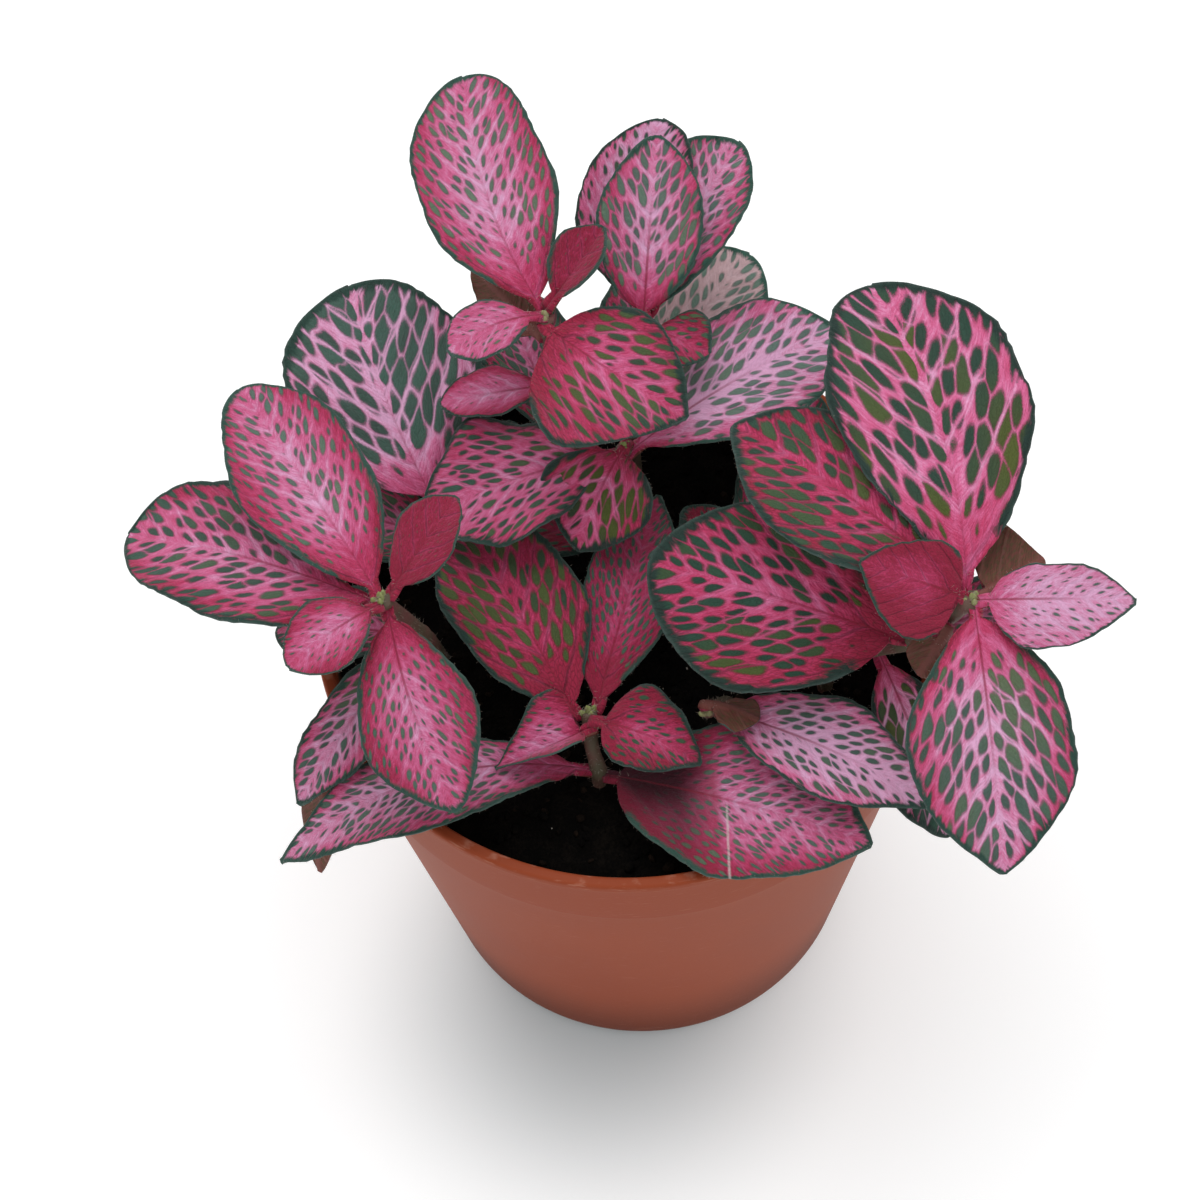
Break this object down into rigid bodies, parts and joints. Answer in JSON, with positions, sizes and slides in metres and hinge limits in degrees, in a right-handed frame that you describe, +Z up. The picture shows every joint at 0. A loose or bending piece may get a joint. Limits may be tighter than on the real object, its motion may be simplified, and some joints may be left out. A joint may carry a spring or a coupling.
{
  "type": "potted nerve plant",
  "caption": "Bushy nerve plant with pink-veined oval leaves on upright stems, growing from soil in a conical terracotta-coloured nursery pot.",
  "frame": {"origin": "centre of the pot's flat underside, on the surface that it stands on", "axes": "+Z up along the pot's axis; -Y faces the viewer of the picture; +X to the right in the picture"},
  "size_m": [0.1815, 0.1505, 0.1704],
  "materials": {
    "pot_plastic": "terracotta-coloured moulded plastic, fine satin surface",
    "soil": "dark moist peat mix, crumbly and matt",
    "leaf": "pink-veined leaf with dark green cells and margin, soft velvety sheen"
  },
  "bodies": {
    "root": {"pot": "pot_plastic", "soil": "soil", "shoot_top": "leaf", "shoot_back": "leaf", "shoot_middle": "leaf", "shoot_mature": "leaf", "shoot_left": "leaf", "shoot_front": "leaf", "shoot_right": "leaf", "shoot_low": "leaf", "shoot_inner": "leaf"}
  },
  "joints": []
}
